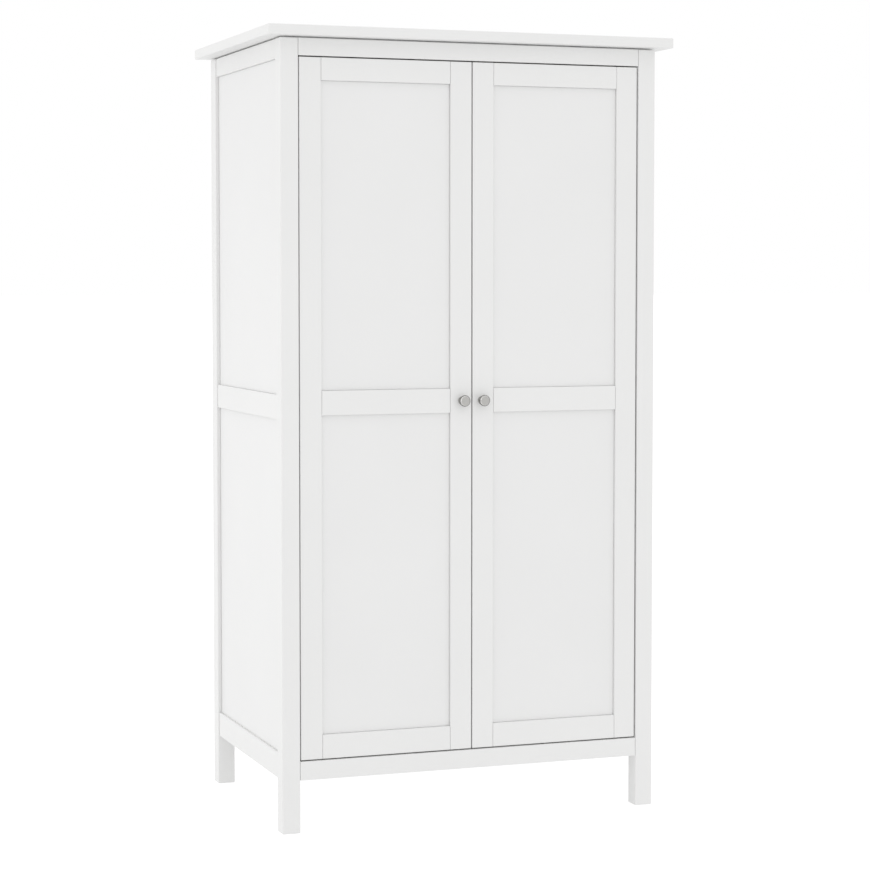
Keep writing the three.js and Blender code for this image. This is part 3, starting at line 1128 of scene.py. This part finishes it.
class WARDROBE_OT_hinges(bpy.types.Operator):
    """Three concealed hinges to a door: a cup with its screws, and a cranked arm on the post"""

    bl_idname = "wardrobe.hinges"
    bl_label = "Hinges"

    def execute(self, context):
        sizes = context.scene.wardrobe_sizes
        for side, sign in SIDES.items():
            cup_screws = []
            arm_screws = []
            for end in ENDS:
                self.cup(side, sign, end, sizes, cup_screws)
                self.arm(side, sign, end, sizes, arm_screws)
            for part, heads in (("cup", cup_screws), ("arm", arm_screws)):
                body = body_of(f"{side}_hinge_{part}_top")
                add_piece(f"{side}_{part}_screws", joined(heads), zinc(), body)
        return {"FINISHED"}

    def cup(self, side, sign, end, sizes, screws):
        """A pressed cup with a rolled ring, and two wings for its screws."""
        node = f"{side}_hinge_cup_{end}"
        low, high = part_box(node)
        flange = 1.5 * MM
        ring = 19.0 * MM
        outer = 17.5 * MM
        inner = 16.3 * MM
        corner = 1.5 * MM
        roll = 0.6 * MM
        inner_roll = 0.5 * MM
        depth = high.y - low.y - flange
        middle = (low.z + high.z) / 2
        edge = low.x if sign < 0 else high.x
        centre = Vector((edge - sign * ring, low.y + depth, middle))
        floor = depth - 1.2 * MM
        profile = [(0, -depth)]
        profile += arc((outer - corner, corner - depth), (corner, corner), -90, 0, 4)
        profile += [(outer, 0), (ring, 0)]
        profile += arc((ring - roll, flange - roll), (roll, roll), 0, 90, 3)
        lip = (inner + inner_roll, flange - inner_roll)
        profile += arc(lip, (inner_roll, inner_roll), 90, 180, 3)
        profile += arc((inner - corner, corner - floor), (corner, corner), 0, -90, 4)
        profile += [(0, -floor)]
        bowl = stood(turned(profile, 48), centre, (0, 1, 0))
        wing_width = 15.0 * MM
        wing_start = 17.0 * MM
        screw_shift = 25.0 * MM
        wing_reach = (high.z - low.z) / 2
        wing_middle = centre.x - sign * 6.0 * MM
        forms = [bowl]
        for way in (-1, 1):
            wing = block(
                (wing_middle - wing_width / 2, centre.y, middle + way * wing_start),
                (wing_middle + wing_width / 2, centre.y + flange, middle + way * wing_reach),
            )
            tip = middle + way * wing_reach
            corners = [item for item in edges_along(wing, DEEP)
                       if abs(item.verts[0].co.z - tip) < NEAR]
            ease(wing, corners, 5.0 * MM, 5)
            ease(wing, sharp_edges(wing), sizes.metal_arris, 2)
            forms.append(wing)
            point = (wing_middle, centre.y + flange, middle + way * screw_shift)
            screws.append(stood(screw_head(sizes.screw_head, HEAD_HEIGHT), point, (0, 1, 0)))
        add_piece(f"{node}_pressed", joined(forms), nickel_plate(), body_of(node),
                  [node])

    def arm(self, side, sign, end, sizes, screws):
        """A cranked arm and its mounting plate, with four screws."""
        node = f"{side}_hinge_arm_{end}"
        low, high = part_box(node)
        form = merged(node)
        ease(form, sharp_edges(form), sizes.metal_arris, 2)
        add_piece(f"{node}_pressed", form, nickel_plate(), body_of(node), [node])
        inward = (-sign, 0, 0)
        post_face = high.x if sign > 0 else low.x
        middle = (low.z + high.z) / 2
        plate_thick = 2.0 * MM
        arm_height = 10.3 * MM
        plate_face = post_face - sign * plate_thick
        arm_face = post_face - sign * arm_height
        screw_back = 26.0 * MM
        screw_shift = 16.0 * MM
        for way in (-1, 1):
            point = (plate_face, high.y - screw_back, middle + way * screw_shift)
            screws.append(stood(screw_head(sizes.screw_head, HEAD_HEIGHT), point, inward))
        for back in (8.0 * MM, 30.0 * MM):
            point = (arm_face, high.y - back, middle)
            screws.append(stood(screw_head(3.0 * MM, 0.9 * MM), point, inward))


class WARDROBE_OT_catches(bpy.types.Operator):
    """A magnetic catch behind the top rail for each door, and the steel plate that it pulls"""

    bl_idname = "wardrobe.catches"
    bl_label = "Catches"

    def execute(self, context):
        sizes = context.scene.wardrobe_sizes
        for side, sign in SIDES.items():
            self.catch(side, sign * sizes.catch_place)
            self.strike_plate(side, sign * sizes.catch_place)
        return {"FINISHED"}

    def catch(self, side, across):
        """A moulded body on two ears, with two steel strips that stand out of its front."""
        low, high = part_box("front_top_rail")
        rail_back = high.y
        under = low.z
        body_front = rail_back + 2.2 * MM
        top = under + 18 * MM
        half_body = 15 * MM
        half_ears = 24 * MM
        half_strip = 11 * MM
        ears_back = rail_back + 3 * MM
        screw_shift = 19.5 * MM
        shell = block(
            (across - half_body, body_front, under - 16 * MM),
            (across + half_body, body_front + 14 * MM, top),
        )
        ease(shell, outer_arrises(shell), 1.5 * MM)
        ears = block(
            (across - half_ears, rail_back, under + 2 * MM),
            (across + half_ears, ears_back, top),
        )
        ease(ears, edges_along(ears, DEEP), 5 * MM, 5)
        ease(ears, sharp_edges(ears), 0.5 * MM, 2)
        body = body_of("front_top_rail")
        add_piece(f"{side}_catch", joined([shell, ears]), moulded_plastic(), body)
        steel = []
        for level in (under - 12 * MM, under - 6 * MM):
            strip = block(
                (across - half_strip, body_front - 0.8 * MM, level),
                (across + half_strip, body_front + 4 * MM, level + 1.5 * MM),
            )
            steel.append(ease(strip, outer_arrises(strip), 0.3 * MM, 2))
        for shift in (-screw_shift, screw_shift):
            point = (across + shift, ears_back, under + 10 * MM)
            steel.append(stood(screw_head(2.8 * MM, 1.1 * MM), point, (0, 1, 0)))
        add_piece(f"{side}_catch_steel", joined(steel), zinc(), body)

    def strike_plate(self, side, across):
        """A small steel plate on the back of the door."""
        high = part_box(f"{side}_door_top_rail")[1]
        half_width = 14 * MM
        thick = 1.1 * MM
        plate = block(
            (across - half_width, high.y, high.z - 14 * MM),
            (across + half_width, high.y + thick, high.z - 2 * MM),
        )
        ease(plate, edges_along(plate, DEEP), 3 * MM, 5)
        ease(plate, sharp_edges(plate), 0.25 * MM, 2)
        body = body_of(f"{side}_door_top_rail")
        add_piece(f"{side}_strike_plate", plate, zinc(), body)


# ------------------------ stage


class WARDROBE_OT_stage(bpy.types.Operator):
    """The pale floor, the soft lights and the camera"""

    bl_idname = "wardrobe.stage"
    bl_label = "Stage"

    def execute(self, context):
        studio = context.scene.wardrobe_studio
        self.floor(studio)
        self.surround(context, studio)
        self.soft_light("Side light", studio.side_light, SIDE_LIGHT_PLACE, SIDE_LIGHT_SIZE)
        self.soft_light("Front light", studio.front_light, FRONT_LIGHT_PLACE, FRONT_LIGHT_SIZE)
        self.camera(context, studio)
        context.scene.view_settings.view_transform = "Standard"
        return {"FINISHED"}

    def floor(self, studio):
        """A wide pale floor."""
        half_size = 150
        form = bmesh.new()
        bmesh.ops.create_grid(form, x_segments=1, y_segments=1, size=half_size)
        mesh = bpy.data.meshes.new("floor")
        form.to_mesh(mesh)
        form.free()
        material, tree, shader, point = new_material("Pale floor")
        cloud = noise(tree, point, 1.5, 2.0, 0.5)
        tone = spread(tree, cloud, 0.3, 0.7, 0.98, 1.0)
        colour = shaded(tree, (*studio.floor, 1), tone)
        tree.links.new(colour, shader.inputs["Base Color"])
        shader.inputs["Roughness"].default_value = 0.8
        shader.inputs["Emission Color"].default_value = (1, 1, 1, 1)
        seen = tree.nodes.new("ShaderNodeLightPath").outputs["Is Camera Ray"]
        glow = spread(tree, seen, 0.0, 1.0, studio.floor_light, studio.floor_glow)
        tree.links.new(glow, shader.inputs["Emission Strength"])
        mesh.materials.append(material)
        floor = bpy.data.objects.new("floor", mesh)
        bpy.context.scene.collection.objects.link(floor)

    def surround(self, context, studio):
        """A white surround, whose light is weaker at the horizon and stronger overhead."""
        world = bpy.data.worlds.new("Surround")
        world.use_nodes = True
        context.scene.world = world
        tree = world.node_tree
        background = next(item for item in tree.nodes if item.type == "BACKGROUND")
        background.inputs["Color"].default_value = (1, 1, 1, 1)
        seen = tree.nodes.new("ShaderNodeLightPath").outputs["Is Camera Ray"]
        way = tree.nodes.new("ShaderNodeTexCoord").outputs["Generated"]
        height = add_node(tree, "ShaderNodeSeparateXYZ", {"Vector": way}).outputs["Z"]
        light = spread(tree, height, 0.0, 1.0, studio.surround, studio.zenith)
        strength = spread(tree, seen, 0.0, 1.0, light, 1.0)
        tree.links.new(strength, background.inputs["Strength"])

    def soft_light(self, name, power, place, size):
        """A large square light that faces the middle of the wardrobe."""
        light = bpy.data.lights.new(name, "AREA")
        light.energy = power
        light.size = size
        lamp = bpy.data.objects.new(name, light)
        lamp.location = place
        middle = (cad_low + cad_high) / 2
        lamp.rotation_euler = (middle - lamp.location).to_track_quat("-Z", "Y").to_euler()
        lamp.visible_camera = False
        bpy.context.scene.collection.objects.link(lamp)

    def camera(self, context, studio):
        """A camera to the left of the front, a little above the knobs."""
        data = bpy.data.cameras.new("Camera")
        data.lens = studio.camera_lens
        data.shift_y = studio.camera_shift
        camera = bpy.data.objects.new("Camera", data)
        camera.location = studio.camera_place
        tilt = math.pi / 2 - studio.camera_tilt
        camera.rotation_euler = (tilt, 0, -studio.camera_turn)
        context.scene.collection.objects.link(camera)
        context.scene.camera = camera


# ------------------------ add-on


class WARDROBE_PT_panel(bpy.types.Panel):
    """Lists the steps that dress the wardrobe, and the values that they use"""

    bl_label = "Wardrobe"
    bl_idname = "WARDROBE_PT_panel"
    bl_space_type = "VIEW_3D"
    bl_region_type = "UI"
    bl_category = "Wardrobe"

    def draw(self, context):
        for group in ("wardrobe_sizes", "wardrobe_finish", "wardrobe_studio"):
            values = getattr(context.scene, group)
            column = self.layout.column(align=True)
            for name in values.bl_rna.properties.keys():
                if name not in ("rna_type", "name"):
                    column.prop(values, name)
        column = self.layout.column(align=True)
        for step in STEPS:
            column.operator(step.bl_idname)


GROUPS = {
    "wardrobe_sizes": WARDROBE_PG_sizes,
    "wardrobe_finish": WARDROBE_PG_finish,
    "wardrobe_studio": WARDROBE_PG_studio,
}
STEPS = (
    WARDROBE_OT_stage,
    WARDROBE_OT_posts,
    WARDROBE_OT_rails,
    WARDROBE_OT_panels,
    WARDROBE_OT_top_board,
    WARDROBE_OT_interior,
    WARDROBE_OT_hanging_rail,
    WARDROBE_OT_doors,
    WARDROBE_OT_knobs,
    WARDROBE_OT_hinges,
    WARDROBE_OT_catches,
)


def register():
    """Registers every class, and puts the value groups on the scene."""
    for item in (*GROUPS.values(), *STEPS, WARDROBE_PT_panel):
        bpy.utils.register_class(item)
    for name, group in GROUPS.items():
        setattr(bpy.types.Scene, name, bpy.props.PointerProperty(type=group))


def unregister():
    """Takes away everything that register added."""
    for name in GROUPS:
        delattr(bpy.types.Scene, name)
    for item in (WARDROBE_PT_panel, *reversed(STEPS), *GROUPS.values()):
        bpy.utils.unregister_class(item)


def main():
    """Builds every piece and the stage."""
    register()
    for step in STEPS:
        family, name = step.bl_idname.split(".")
        getattr(getattr(bpy.ops, family), name)()


if __name__ == "__main__":
    main()
